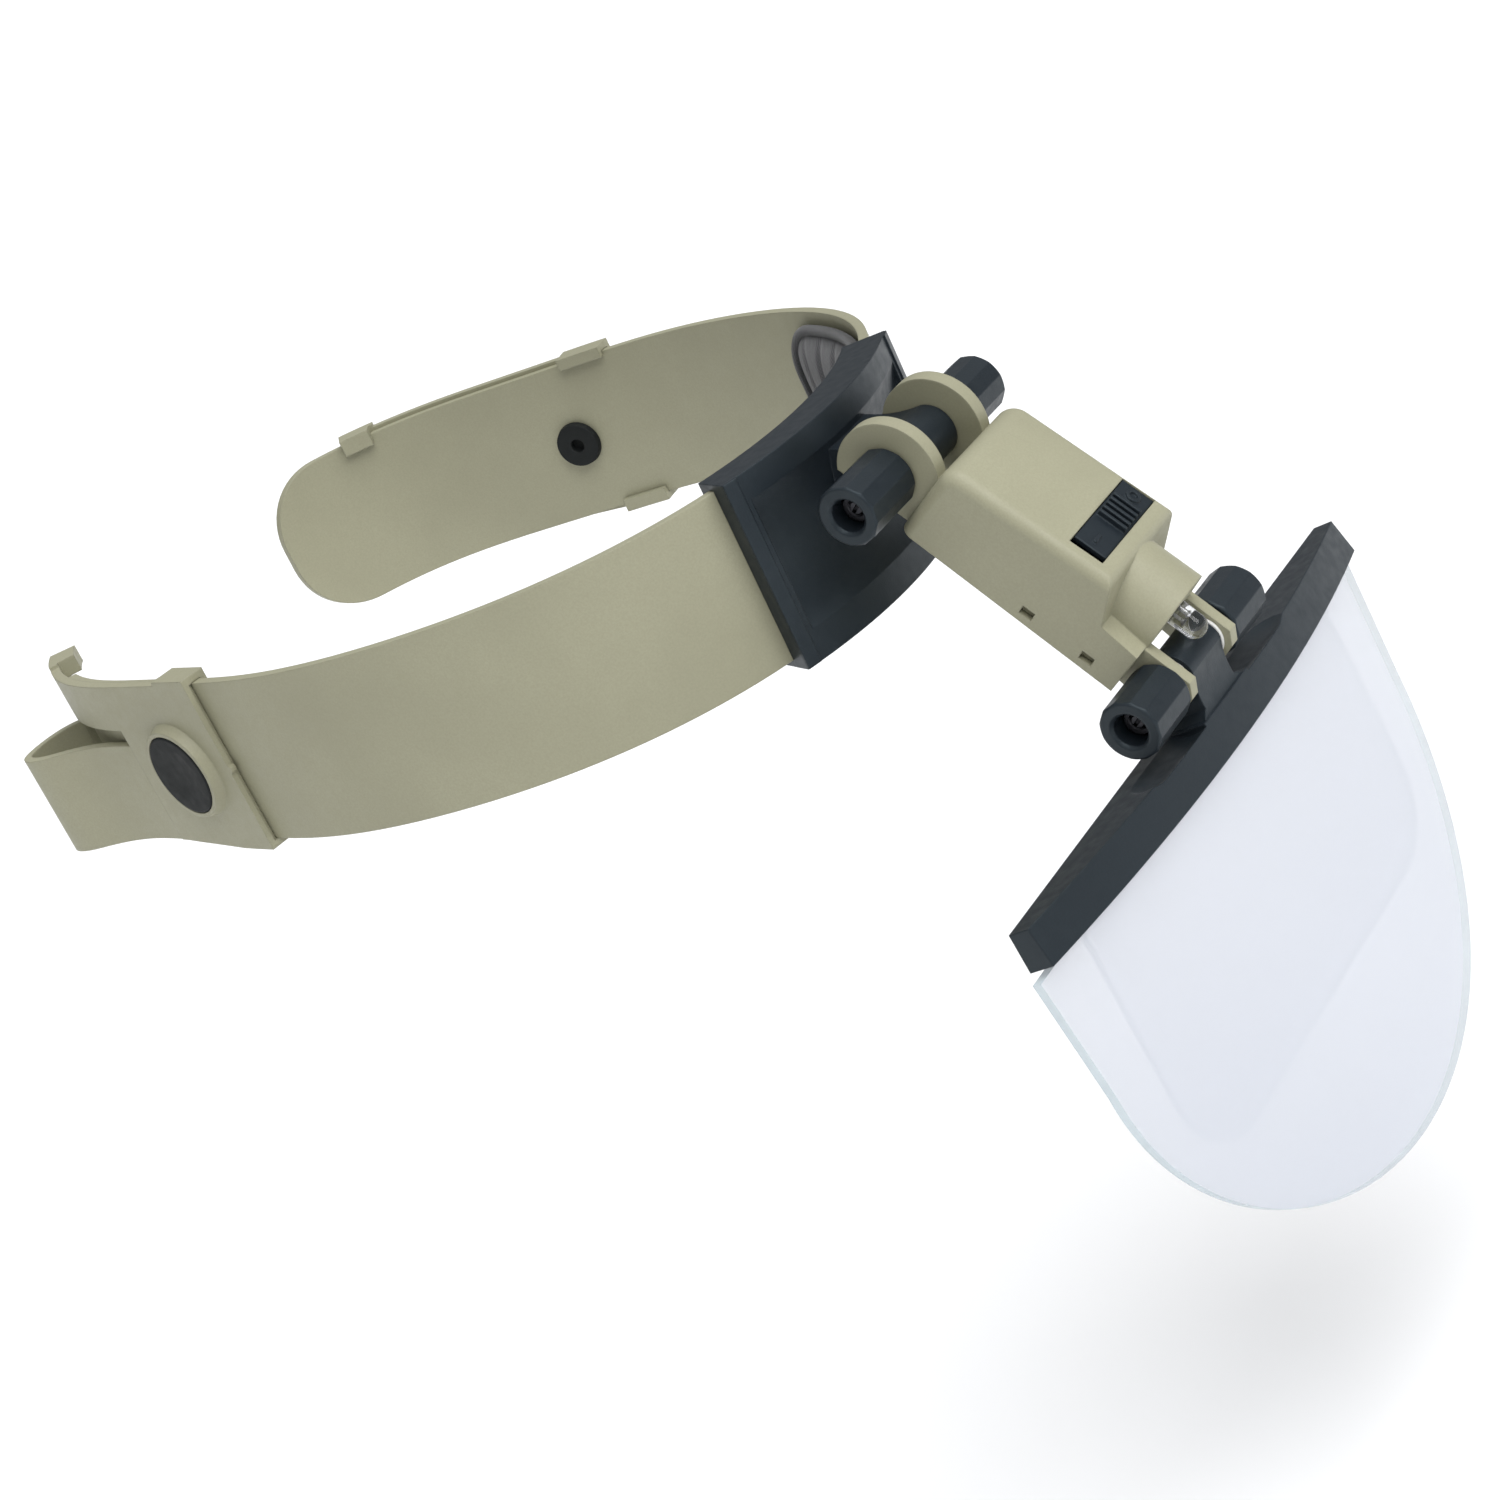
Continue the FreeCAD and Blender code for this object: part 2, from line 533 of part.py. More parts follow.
def visor_washer(side):
    """Stepped white friction washer between the visor barrel and a lamp tab."""
    lo, hi = sorted((side * WASHER_IN, side * (TAB_IN - FIT)))
    thick = rod(3.5, lo, hi, *HINGE_B)
    flange_lo, flange_hi = sorted((side * (WASHER_IN + 0.6), side * (TAB_IN - FIT)))
    flange = rod(4.6, flange_lo, flange_hi, *HINGE_B)
    return fuse([thick, flange]).cut(rod(BOLT_R + 0.03, lo - 1, hi + 1, *HINGE_B))


# ---- visor pieces, frame at the lower hinge --------------------------------------------
def ridge_forward(x, extra=0.0):
    return BRIM_FRONT + BRIM_BULGE * (1.0 - (x / BRIM_HALF) ** 2) + extra


def brim_section(z, front_shift, rear, half):
    """Closed plan outline of the brim at one height: straight rear edge, arched front."""
    xs = [-half + 2.0 * half * i / 12.0 for i in range(13)]
    front = [Vec(ridge_forward(x, front_shift), x, z) for x in xs]
    r0, r1 = Vec(rear, half, z), Vec(rear, -half, z)
    return Part.Wire([spline(front), Part.makeLine(front[-1], r0), Part.makeLine(r0, r1),
                      Part.makeLine(r1, front[0])])


def visor_frame():
    low, half = BRIM_TOP - SKIRT, VISOR_LUG_HALF
    outer = [brim_section(BRIM_TOP, 0.0, BRIM_REAR, BRIM_HALF),
             brim_section(low, SKIRT_FLARE, BRIM_REAR - 0.3, BRIM_HALF + 0.5)]
    inner = [brim_section(BRIM_TOP - 1.8, -1.4, BRIM_REAR + 0.9, BRIM_HALF - 1.2),
             brim_section(low - 1.0, SKIRT_FLARE - 1.3, BRIM_REAR + 0.6, BRIM_HALF - 0.6)]
    shell = Part.makeLoft(outer, True, True).cut(Part.makeLoft(inner, True, True))
    arc = Part.Arc(Vec(-4.6, -half, 1.6), Vec(0.6, -half, 4.83), Vec(4.85, -half, -0.6)).toShape()
    side = [
        arc,
        Part.Arc(Vec(4.85, -half, -0.6), Vec(3.4, -half, -4.6), Vec(3.0, -half, BRIM_TOP - 0.6)).toShape(),
        Part.makeLine(Vec(3.0, -half, BRIM_TOP - 0.6), Vec(-8.2, -half, BRIM_TOP - 0.6)),
        Part.Arc(Vec(-8.2, -half, BRIM_TOP - 0.6), Vec(-6.0, -half, -4.0), Vec(-4.6, -half, 1.6)).toShape(),
    ]
    lug = Part.Face(Part.Wire(side)).extrude(Vec(0, 2 * half, 0))
    foot = Part.makeLoft([
        Part.makePolygon([Vec(-8.4, -9.6, BRIM_TOP - 0.5), Vec(3.2, -9.6, BRIM_TOP - 0.5),
                          Vec(3.2, 9.6, BRIM_TOP - 0.5), Vec(-8.4, 9.6, BRIM_TOP - 0.5),
                          Vec(-8.4, -9.6, BRIM_TOP - 0.5)]),
        Part.makePolygon([Vec(-7.4, -6.4, BRIM_TOP + 1.5), Vec(2.9, -6.4, BRIM_TOP + 1.5),
                          Vec(2.9, 6.4, BRIM_TOP + 1.5), Vec(-7.4, 6.4, BRIM_TOP + 1.5),
                          Vec(-7.4, -6.4, BRIM_TOP + 1.5)]),
    ], True, True)
    body = fuse([shell, lug, foot])
    lo, hi = TROUGH_SPAN
    ends = [Part.makeSphere(TROUGH_R, Vec(0, side * hi, 0)) for side in (-1, 1)]
    troughs = [fuse([rod(TROUGH_R, lo, hi), ends[1]]), fuse([rod(TROUGH_R, -hi, -lo), ends[0]])]
    inwards = Part.makeBox(40, 2 * lo, 40, Vec(-20, -lo, -20))
    troughs = [trough.cut(inwards) for trough in troughs]
    return cut(body, [rod(BOLT_R + RUNNING, -12, 12)] + troughs)


def lower_edge(half, straight, low):
    """Plan of a U-shaped lower edge as (across, up) points, from one side to the other."""
    pts = []
    for i in range(25):
        a = math.pi * i / 24.0
        pts.append(Vec(0, half * math.cos(a), straight + (low - straight) * math.sin(a)))
    return pts


def visor_shield():
    """Clear sheet: bent to one radius in plan, straight down, with a rounded lower edge."""
    axis = SHEET_FRONT - SHEET_R
    height = SHEET_TOP - SHEET_LOW + 4
    outer = Part.makeCylinder(SHEET_R, height, Vec(axis, 0, SHEET_LOW - 2), Vec(0, 0, 1))
    inner = Part.makeCylinder(SHEET_R - SHEET_T, height, Vec(axis, 0, SHEET_LOW - 2), Vec(0, 0, 1))
    curve = lower_edge(SHEET_HALF, SHEET_STRAIGHT, SHEET_LOW)
    inside = BRIM_HALF - 2.9
    top_l, top_r = Vec(0, inside, SHEET_TOP), Vec(0, -inside, SHEET_TOP)
    tuck_l, tuck_r = Vec(0, inside, SHEET_TUCK), Vec(0, -inside, SHEET_TUCK)
    side_l, side_r = Vec(0, SHEET_HALF_TOP, SHEET_TUCK - 0.8), Vec(0, -SHEET_HALF_TOP, SHEET_TUCK - 0.8)
    wire = Part.Wire([
        Part.makeLine(top_l, tuck_l), Part.makeLine(tuck_l, side_l), Part.makeLine(side_l, curve[0]),
        spline(curve),
        Part.makeLine(curve[-1], side_r), Part.makeLine(side_r, tuck_r), Part.makeLine(tuck_r, top_r),
        Part.makeLine(top_r, top_l),
    ])
    front = Part.Face(wire)
    front.translate(Vec(-60, 0, 0))
    return outer.cut(inner).common(front.extrude(Vec(120, 0, 0)))


def lens_plate():
    """Flat inner magnifying lens with rounded lower corners."""
    plate = Part.makeBox(LENS_T, 2 * LENS_HALF, SHEET_TOP - LENS_LOW, Vec(LENS_BACK, -LENS_HALF, LENS_LOW))

    def corner(e):
        return abs(mid(e).z - LENS_LOW) < 0.01 and abs(abs(mid(e).y) - LENS_HALF) < 0.01

    return rounded(plate, LENS_CORNER, corner)


# ---- build everything --------------------------------------------------------------------
def build():
    parts = {
        "headband_strip": headband_strip(),
        "front_carrier": front_carrier(),
        "forehead_pad": forehead_pad(),
        "left_clip": clip(CLIP_LEFT, True),
        "right_clip": mirrored(clip(CLIP_RIGHT, False)),
        "left_clip_button": clip_button(CLIP_LEFT + BOSS_AT),
        "right_clip_button": mirrored(clip_button(CLIP_RIGHT + BOSS_AT)),
    }
    lamp = {
        "tilt_bolt": hinge_bolt(0.0, 0.0, BOLT_A_HALF),
        "lamp_housing": lamp_housing(),
        "battery_cover": battery_cover(),
        "switch_slider": switch_slider(),
        "led_bulb": led_bulb(),
        "led_board": led_board(),
        "left_battery": battery(1),
        "right_battery": battery(-1),
        "visor_bolt": hinge_bolt(HINGE_B[0], HINGE_B[1], BOLT_B_HALF),
        "left_visor_washer": visor_washer(1),
        "right_visor_washer": visor_washer(-1),
    }
    for name, outer, at in (("tilt_knob", KNOB_A_OUT, (0.0, 0.0)), ("visor_knob", KNOB_B_OUT, HINGE_B)):
        left = knob(outer)
        right = left.mirror(Vec(0, 0, 0), Vec(0, 1, 0))
        for side, shape in (("left_", left), ("right_", right)):
            shape.translate(Vec(at[0], 0, at[1]))
            lamp[side + name] = shape
    for name, shape in lamp.items():
        parts[name] = pitched(shape, HINGE_A, LAMP_PITCH)
    c, s = cosd(LAMP_PITCH), sind(LAMP_PITCH)
    forward, outward = HINGE_B
    hinge_b = (0.0, HINGE_A[1] - c * forward - s * outward, HINGE_A[2] - s * forward + c * outward)
    parts["visor_frame"] = pitched(visor_frame(), hinge_b, VISOR_PITCH)
    parts["visor_shield"] = pitched(visor_shield(), hinge_b, SHEET_PITCH)
    parts["lens_plate"] = pitched(lens_plate(), hinge_b, SHEET_PITCH)
    for name, shape in parts.items():
        save(name, shape)


build()
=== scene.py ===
import json
import math

import bmesh
import bpy
from mathutils import Matrix, Vector

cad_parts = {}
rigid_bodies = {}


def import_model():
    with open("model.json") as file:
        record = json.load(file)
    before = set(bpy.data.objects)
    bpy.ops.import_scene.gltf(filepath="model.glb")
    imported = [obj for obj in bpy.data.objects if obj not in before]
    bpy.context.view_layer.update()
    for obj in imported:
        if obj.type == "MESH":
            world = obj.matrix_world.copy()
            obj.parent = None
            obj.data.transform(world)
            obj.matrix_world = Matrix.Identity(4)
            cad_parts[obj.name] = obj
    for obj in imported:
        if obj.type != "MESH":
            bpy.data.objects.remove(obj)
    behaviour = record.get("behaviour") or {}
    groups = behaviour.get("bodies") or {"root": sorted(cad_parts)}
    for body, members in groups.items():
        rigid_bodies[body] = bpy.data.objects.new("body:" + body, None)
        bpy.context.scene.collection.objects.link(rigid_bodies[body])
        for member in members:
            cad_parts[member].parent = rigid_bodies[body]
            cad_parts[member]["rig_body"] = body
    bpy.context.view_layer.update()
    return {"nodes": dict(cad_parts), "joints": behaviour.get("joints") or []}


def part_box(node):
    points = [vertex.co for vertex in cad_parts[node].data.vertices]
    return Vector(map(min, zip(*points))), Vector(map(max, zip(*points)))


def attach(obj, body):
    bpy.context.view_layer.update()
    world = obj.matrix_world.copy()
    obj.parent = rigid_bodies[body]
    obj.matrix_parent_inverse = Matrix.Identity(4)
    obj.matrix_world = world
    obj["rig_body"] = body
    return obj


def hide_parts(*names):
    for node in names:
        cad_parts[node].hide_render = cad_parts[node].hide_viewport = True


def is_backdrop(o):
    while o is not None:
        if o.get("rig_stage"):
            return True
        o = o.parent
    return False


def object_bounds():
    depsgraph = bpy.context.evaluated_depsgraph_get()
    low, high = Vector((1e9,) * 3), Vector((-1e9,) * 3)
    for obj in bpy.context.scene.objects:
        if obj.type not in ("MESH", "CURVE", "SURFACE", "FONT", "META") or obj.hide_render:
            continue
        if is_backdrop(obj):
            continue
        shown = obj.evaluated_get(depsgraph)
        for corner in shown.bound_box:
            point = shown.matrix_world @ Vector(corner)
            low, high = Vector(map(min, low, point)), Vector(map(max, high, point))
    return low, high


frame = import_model()

# Looks of the head visor magnifier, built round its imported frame.  Metres.
# +Z up, -Y the way the wearer faces, +X the wearer's left.

MM = 0.001
JOINTS = {joint["name"]: joint for joint in frame["joints"]}
HINGE_A = Vector(JOINTS["lamp_tilt"]["pos_m"])
HINGE_B = Vector(JOINTS["visor_tilt"]["pos_m"])

# ---- head band: the oval's radius as cosine terms, the same curve as the band's ------
OVAL = [v * MM for v in (85.2, 6.55, 11.55, 0.4, -0.95, 1.25, -0.85)]

# ---- forehead pad -----------------------------------------------------------------------
PAD_ANGLE = 51.0            # degrees each side of the middle
PAD_HALF = 14.6 * MM
PAD_BACK = 2.7 * MM         # the pad's back, inwards from the oval
PAD_THICK = 5.2 * MM
PAD_CORNER = 10.5 * MM
PAD_CELL = 8.4 * MM         # distance between sewn channels
PAD_COLUMNS = 152
PAD_ROWS = 24
PAD_CAP = 2.2 * MM          # how far the simulation may move a point
PAD_FRAMES = 20
SEAM_DEPTH = 0.66           # depth of the pad at a sewn channel, as a share of its full depth
CELL_DEPTH = 0.9            # and between channels, before it is blown up
BINDING_RADIUS = 1.15 * MM
BINDING_STEP = 1.6 * MM
BINDING_INWARDS = 0.9 * MM  # the binding's middle, inwards from the pad's back

# ---- hinge nuts -----------------------------------------------------------------------
RECESS_DEPTH = 5.2 * MM     # of the round recess in a knob's outer face
NUT_FLATS = 2.75 * MM       # from the nut's middle to one of its flats
NUT_BORE = 1.62 * MM
NUT_BEVEL = 0.25 * MM
NUT_THICK = 1.4 * MM
NUT_GAP = 0.05 * MM         # between the nut and the recess's bottom

# ---- LED ------------------------------------------------------------------------------
LED_ROUND = 2.5 / 2.9       # radius of the LED's bulb over the radius of its collar
LED_CUP = 0.56              # height of the reflector cup in the LED, as a share of its length

# ---- camera, lights and floor -----------------------------------------------------------
FLOOR_DROP = 60.0 * MM      # the floor stays clear of the visor wherever the hinges put it
FLOOR_HALF = 40.0
SKY_LOW = 0.10              # strength of the sky at the horizon and overhead
SKY_HIGH = 0.78
KEY_FROM = (-0.10, -0.55, 0.83)
KEY_STRENGTH = 3.0
KEY_SPREAD = 60.0           # degrees
CAMERA_AT = (-0.4502, -0.4526, 0.1772)
CAMERA_AZIMUTH = -48.17
CAMERA_ELEVATION = 20.65
CAMERA_ROLL = 26.0
CAMERA_LENS = 75.32
CAMERA_SENSOR = 36.0


# ==== small helpers ========================================================================
SMOOTH_ANGLE = 32.0         # degrees; a sharper turn between two faces is shaded as an edge


def link(obj):
    bpy.context.scene.collection.objects.link(obj)
    return obj


def new_object(name, bm):
    mesh = bpy.data.meshes.new(name)
    bm.normal_update()
    bm.to_mesh(mesh)
    bm.free()
    return link(bpy.data.objects.new(name, mesh))


def shade(obj, angle=SMOOTH_ANGLE, weighted=True):
    """Smooth shading that breaks at sharp edges, with flat faces kept flat."""
    obj.data.polygons.foreach_set("use_smooth", [True] * len(obj.data.polygons))
    obj.data.set_sharp_from_angle(angle=math.radians(angle))
    if weighted:
        modifier = obj.modifiers.new("flat_faces", "WEIGHTED_NORMAL")
        modifier.keep_sharp = True
        modifier.weight = 80
    return obj


def stand_for(obj, material, *nodes):
    """Give a piece its material, and let it ride and show in place of these CAD nodes."""
    obj.data.materials.clear()
    obj.data.materials.append(material)
    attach(obj, frame["nodes"][nodes[0]]["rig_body"])
    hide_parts(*nodes)
    return obj


def extra(obj, material, body):
    """A small visual piece that stands for no CAD node of its own."""
    obj.data.materials.append(material)
    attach(obj, body)
    return obj


# ==== materials ==========================================================================
class Shader:
    """One node material with a Principled surface, and short calls to add and join nodes."""

    def __init__(self, name):
        self.material = bpy.data.materials.new(name)
        self.material.use_nodes = True
        self.tree = self.material.node_tree
        self.tree.nodes.clear()
        self.out = self.add("ShaderNodeOutputMaterial")
        self.surface = self.add("ShaderNodeBsdfPrincipled")
        self.join(self.surface.outputs[0], self.out.inputs["Surface"])
        self.place = self.add("ShaderNodeTexCoord").outputs["Object"]

    def add(self, kind, inputs=None, **properties):
        node = self.tree.nodes.new(kind)
        for key, value in properties.items():
            setattr(node, key, value)
        for key, value in (inputs or {}).items():
            node.inputs[key].default_value = value
        return node

    def join(self, output, target):
        self.tree.links.new(output, target)

    def set(self, **values):
        for key, value in values.items():
            self.surface.inputs[key.replace("_", " ")].default_value = value

    def noise(self, scale, detail=2.0, roughness=0.5, vector=None):
        settings = {"Scale": scale, "Detail": detail, "Roughness": roughness}
        node = self.add("ShaderNodeTexNoise", settings)
        self.join(vector or self.place, node.inputs["Vector"])
        return node.outputs["Fac"]

    def ranged(self, value, low, high, to_low, to_high):
        settings = {"From Min": low, "From Max": high, "To Min": to_low, "To Max": to_high}
        node = self.add("ShaderNodeMapRange", settings)
        self.join(value, node.inputs["Value"])
        return node.outputs["Result"]

    def blended(self, factor, a, b):
        """Mix two colours; each is a socket or three numbers."""
        node = self.add("ShaderNodeMix", data_type="RGBA")
        self.join(factor, node.inputs["Factor"])
        for name, value in (("A", a), ("B", b)):
            socket = [s for s in node.inputs if s.name == name and s.type == "RGBA"][0]
            if isinstance(value, bpy.types.NodeSocket):
                self.join(value, socket)
            else:
                socket.default_value = (*value, 1.0)
        return [s for s in node.outputs if s.type == "RGBA"][0]

    def maths(self, operation, a, b):
        node = self.add("ShaderNodeMath", operation=operation)
        for i, value in enumerate((a, b)):
            if isinstance(value, bpy.types.NodeSocket):
                self.join(value, node.inputs[i])
            else:
                node.inputs[i].default_value = value
        return node.outputs[0]

    def bump(self, height, distance, strength=1.0, normal=None):
        node = self.add("ShaderNodeBump", {"Strength": strength, "Distance": distance})
        self.join(height, node.inputs["Height"])
        if normal:
            self.join(normal, node.inputs["Normal"])
        return node.outputs["Normal"]


GRAIN = 2400.0              # scale of the spark-eroded grain on moulded plastic
EDGE_WEAR = 0.3             # most that rubbing lightens an edge


def moulded(name, colour, shadow, worn, roughness, depth=0.018, sheen=0.5, gloss=(1, 1, 1)):
    """Injection-moulded plastic: drifting colour, spark-eroded grain and slightly rubbed edges.

    depth is the grain's, in millimetres; sheen and gloss are the strength and tint of the shine."""
    s = Shader(name)
    drift = s.ranged(s.noise(28.0, 3.0), 0.35, 0.65, 0.0, 1.0)
    speck = s.noise(GRAIN, 3.0, 0.6)
    cloudy = s.noise(420.0, 2.0)
    soft = s.add("ShaderNodeBevel", {"Radius": 0.45 * MM}, samples=4)
    plain = s.add("ShaderNodeNewGeometry").outputs["Normal"]
    facing = s.add("ShaderNodeVectorMath", operation="DOT_PRODUCT")
    s.join(soft.outputs[0], facing.inputs[0])
    s.join(plain, facing.inputs[1])
    edge = s.ranged(facing.outputs["Value"], 0.985, 0.86, 0.0, EDGE_WEAR)
    rubbed = s.maths("MULTIPLY", edge, s.ranged(s.noise(160.0, 3.0), 0.4, 0.62, 0.15, 1.0))
    base = s.blended(drift, colour, shadow)
    dark = [c * 0.84 for c in shadow]
    base = s.blended(s.ranged(speck, 0.36, 0.64, 0.35, 0.0), base, dark)
    s.join(s.blended(rubbed, base, worn), s.surface.inputs["Base Color"])
    s.join(s.ranged(cloudy, 0.3, 0.7, roughness - 0.05, roughness + 0.06), s.surface.inputs["Roughness"])
    s.join(s.bump(speck, depth * MM, 1.0, soft.outputs[0]), s.surface.inputs["Normal"])
    s.set(IOR=1.5, Specular_IOR_Level=sheen, Specular_Tint=(*gloss, 1.0))
    return s.material


KNIT_PITCH = 0.75 * MM      # distance between the cushion's ribs of thread, and the binding's
TAPE_PITCH = 0.5 * MM
KNIT_RADIUS = 95.0 * MM     # radius of the curve that the cloth lies on, which spaces its upright ribs


def fabric(name, thread, gap, fuzz, pitch):
    """Close warp-knit cloth: crossed ribs of thread with loose fuzz over them."""
    s = Shader(name)
    split = s.add("ShaderNodeSeparateXYZ")
    s.join(s.place, split.inputs[0])
    round_x = s.maths("ARCTAN2", split.outputs["X"], split.outputs["Y"])
    warp = s.maths("SINE", s.maths("MULTIPLY", round_x, 2 * math.pi * KNIT_RADIUS / pitch), 0.0)
    weft = s.maths("SINE", s.maths("MULTIPLY", split.outputs["Z"], 2 * math.pi / pitch), 0.0)
    weave = s.maths("MULTIPLY", warp, weft)
    fine = s.noise(2600.0, 4.0, 0.7)
    height = s.maths("ADD", s.maths("MULTIPLY", weave, 0.4), fine)
    worn = s.ranged(s.noise(70.0, 3.0), 0.35, 0.65, 0.0, 1.0)
    base = s.blended(s.ranged(height, 0.15, 0.95, 0.0, 1.0), gap, thread)
    s.join(s.blended(s.maths("MULTIPLY", worn, 0.45), base, fuzz), s.surface.inputs["Base Color"])
    s.join(s.bump(height, 0.16 * MM), s.surface.inputs["Normal"])
    s.set(Roughness=0.92, Sheen_Weight=0.35, Sheen_Roughness=0.5)
    return s.material


def metal(name, colour, roughness):
    """Finished metal with fine turning marks."""
    s = Shader(name)
    streak = s.noise(900.0, 4.0, 0.65)
    s.join(s.ranged(streak, 0.3, 0.7, roughness - 0.08, roughness + 0.14), s.surface.inputs["Roughness"])
    tarnish = s.ranged(s.noise(240.0, 3.0), 0.4, 0.7, 0.0, 0.6)
    s.join(s.blended(tarnish, colour, [c * 0.55 for c in colour]), s.surface.inputs["Base Color"])
    s.join(s.bump(streak, 0.01 * MM), s.surface.inputs["Normal"])
    s.set(Metallic=1.0)
    return s.material


ACRYLIC_IOR = 1.49
# Painted reflection: the clear sheets' haze and tint fade towards the shield's top edge, so the sheets are
# painted lighter there.
CLEARER = 0.25              # share of the haze and tint that is left at the shield's top edge


def clear_sheet(name, tint, haze, haze_colour, shine=0.75):
    """Thin polished acrylic seen face on: it passes light unbent, with a faint milky haze and gloss, and with
    a painted reflection that makes it lighter towards the shield's top edge.
    """
    s = Shader(name)
    smear = s.ranged(s.noise(9.0, 4.0, 0.6), 0.35, 0.7, 0.0, 1.0)
    split = s.add("ShaderNodeSeparateXYZ")
    s.join(s.place, split.inputs[0])
    low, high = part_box("visor_shield")
    # Painted reflection: 0 at the shield's bottom edge and 1 at its top, where haze and tint are faded.
    painted_reflection_rise = s.ranged(split.outputs["Z"], low.z, high.z, 0.0, 1.0)
    through = s.add("ShaderNodeBsdfTransparent")
    s.join(s.blended(painted_reflection_rise, tint, [1 - CLEARER * (1 - c) for c in tint]), through.inputs["Color"])
    s.set(Base_Color=(*haze_colour, 1.0), IOR=ACRYLIC_IOR)
    s.join(s.ranged(smear, 0.0, 1.0, 0.035, 0.09), s.surface.inputs["Roughness"])
    hazy = s.ranged(smear, 0.0, 1.0, haze * 0.8, haze * 1.25)
    share = s.maths("MULTIPLY", hazy, s.ranged(painted_reflection_rise, 0.0, 1.0, 1.0, CLEARER))
    gloss = s.add("ShaderNodeFresnel", {"IOR": ACRYLIC_IOR}).outputs[0]
    mix = s.add("ShaderNodeMixShader")
    s.join(s.maths("ADD", share, s.maths("MULTIPLY", gloss, shine)), mix.inputs[0])
    s.join(through.outputs[0], mix.inputs[1])
    s.join(s.surface.outputs[0], mix.inputs[2])
    s.join(mix.outputs[0], s.out.inputs["Surface"])
    return s.material


def clear_edge(name, colour, solid):
    """The polished rim of a clear sheet, where the colour of the plastic gathers."""
    s = Shader(name)
    along = s.ranged(s.noise(45.0, 3.0), 0.35, 0.65, 0.0, 1.0)
    base = s.blended(along, colour, [min(1.0, c * 1.18) for c in colour])
    s.join(base, s.surface.inputs["Base Color"])
    s.set(Roughness=0.12, IOR=ACRYLIC_IOR, Alpha=solid)
    return s.material


def resin(name):
    """Water-clear moulded resin with real refraction, for a small solid lens."""
    s = Shader(name)
    s.join(s.ranged(s.noise(600.0, 2.0), 0.3, 0.7, 0.01, 0.05), s.surface.inputs["Roughness"])
    s.set(Base_Color=(0.97, 0.985, 1.0, 1.0), Transmission_Weight=1.0, IOR=1.5)
    return s.material


# Each moulded plastic has its colour, the same a little darker, its colour on rubbed edges, and its
# roughness.
BEIGE = moulded("beige_abs", (0.335, 0.326, 0.226), (0.30, 0.291, 0.20), (0.42, 0.41, 0.31), 0.50,
                sheen=0.4)
CHARCOAL = moulded("charcoal_abs", (0.012, 0.0165, 0.0215), (0.0102, 0.0141, 0.0185),
                   (0.036, 0.044, 0.054), 0.40, depth=0.022, sheen=0.38, gloss=(0.80, 0.94, 1.0))
BUTTON = moulded("button_grey", (0.0125, 0.0145, 0.0145), (0.0105, 0.0122, 0.0122),
                 (0.04, 0.043, 0.043), 0.58, sheen=0.16)
KNIT = fabric("pad_knit", (0.050, 0.051, 0.056), (0.010, 0.010, 0.012), (0.085, 0.085, 0.092), KNIT_PITCH)
BINDING = fabric("pad_binding_tape", (0.030, 0.032, 0.034), (0.008, 0.008, 0.009), (0.05, 0.05, 0.054),
                 TAPE_PITCH)
STEEL = metal("black_oxide_steel", (0.07, 0.07, 0.078), 0.40)
LEADS = metal("tinned_leads", (0.62, 0.62, 0.63), 0.28)
NYLON = moulded("white_nylon", (0.72, 0.72, 0.70), (0.64, 0.64, 0.62), (0.80, 0.80, 0.79), 0.42)
SLEEVE = moulded("cell_sleeve", (0.05, 0.06, 0.085), (0.035, 0.045, 0.065), (0.2, 0.2, 0.2), 0.35)
BOARD = moulded("solder_mask", (0.03, 0.13, 0.05), (0.02, 0.09, 0.04), (0.2, 0.25, 0.1), 0.38)
SHIELD = clear_sheet("shield_acrylic", (0.973, 0.979, 0.991), 0.036, (0.80, 0.82, 0.87))
SHIELD_EDGE = clear_edge("shield_rim", (0.50, 0.60, 0.63), 0.55)
LENS = clear_sheet("lens_acrylic", (0.995, 0.996, 0.998), 0.008, (0.80, 0.82, 0.87), 0.3)
LENS_EDGE = clear_edge("lens_rim", (0.58, 0.67, 0.70), 0.32)
RESIN = resin("led_resin")


# ==== pieces whose shape comes from the frame ==================================================
WELD = 0.002 * MM
FLAT_ANGLE = math.radians(0.06)     # faces that turn by less than this are joined into one
BREAK_ANGLE = 34.0                  # degrees; a sharper turn than this between two faces is an edge
CREASE = {"front_carrier": 18.0, "visor_frame": 20.0}   # the same where hollows run out gently


def refined(node, radius, facet=None):
    """A welded copy of a CAD node with its sharp edges rounded over by a real bevel.

    facet(edge) may pick further edges to round over."""
    crease = CREASE.get(node, BREAK_ANGLE)
    bm = bmesh.new()
    bm.from_mesh(frame["nodes"][node].data)
    bmesh.ops.remove_doubles(bm, verts=bm.verts, dist=WELD)
    bmesh.ops.dissolve_degenerate(bm, dist=WELD, edges=bm.edges)
    bmesh.ops.dissolve_limit(bm, angle_limit=FLAT_ANGLE, verts=bm.verts, edges=bm.edges,
                             use_dissolve_boundaries=False)
    sharp = [e for e in bm.edges if len(e.link_faces) == 2
             and (e.calc_face_angle(0.0) > math.radians(crease) or (facet and facet(e)))]
    if sharp:
        bmesh.ops.bevel(bm, geom=sharp, offset=radius, offset_type="OFFSET", segments=3, profile=0.5,
                        affect="EDGES", clamp_overlap=True, harden_normals=False)
    for layer in list(bm.loops.layers.uv):
        bm.loops.layers.uv.remove(layer)
    obj = new_object(node + "_shell", bm)
    for attribute in [a for a in obj.data.attributes if a.name == "custom_normal"]:
        obj.data.attributes.remove(attribute)
    return shade(obj, crease - 2.0)


FACET_LENGTH = 4.0 * MM     # the edges between a knob's flats are longer than this,
RECESS_CLEAR = 5.0 * MM     # further out than the recess,
FACET_TURN = 20.0           # and turn by more than this many degrees


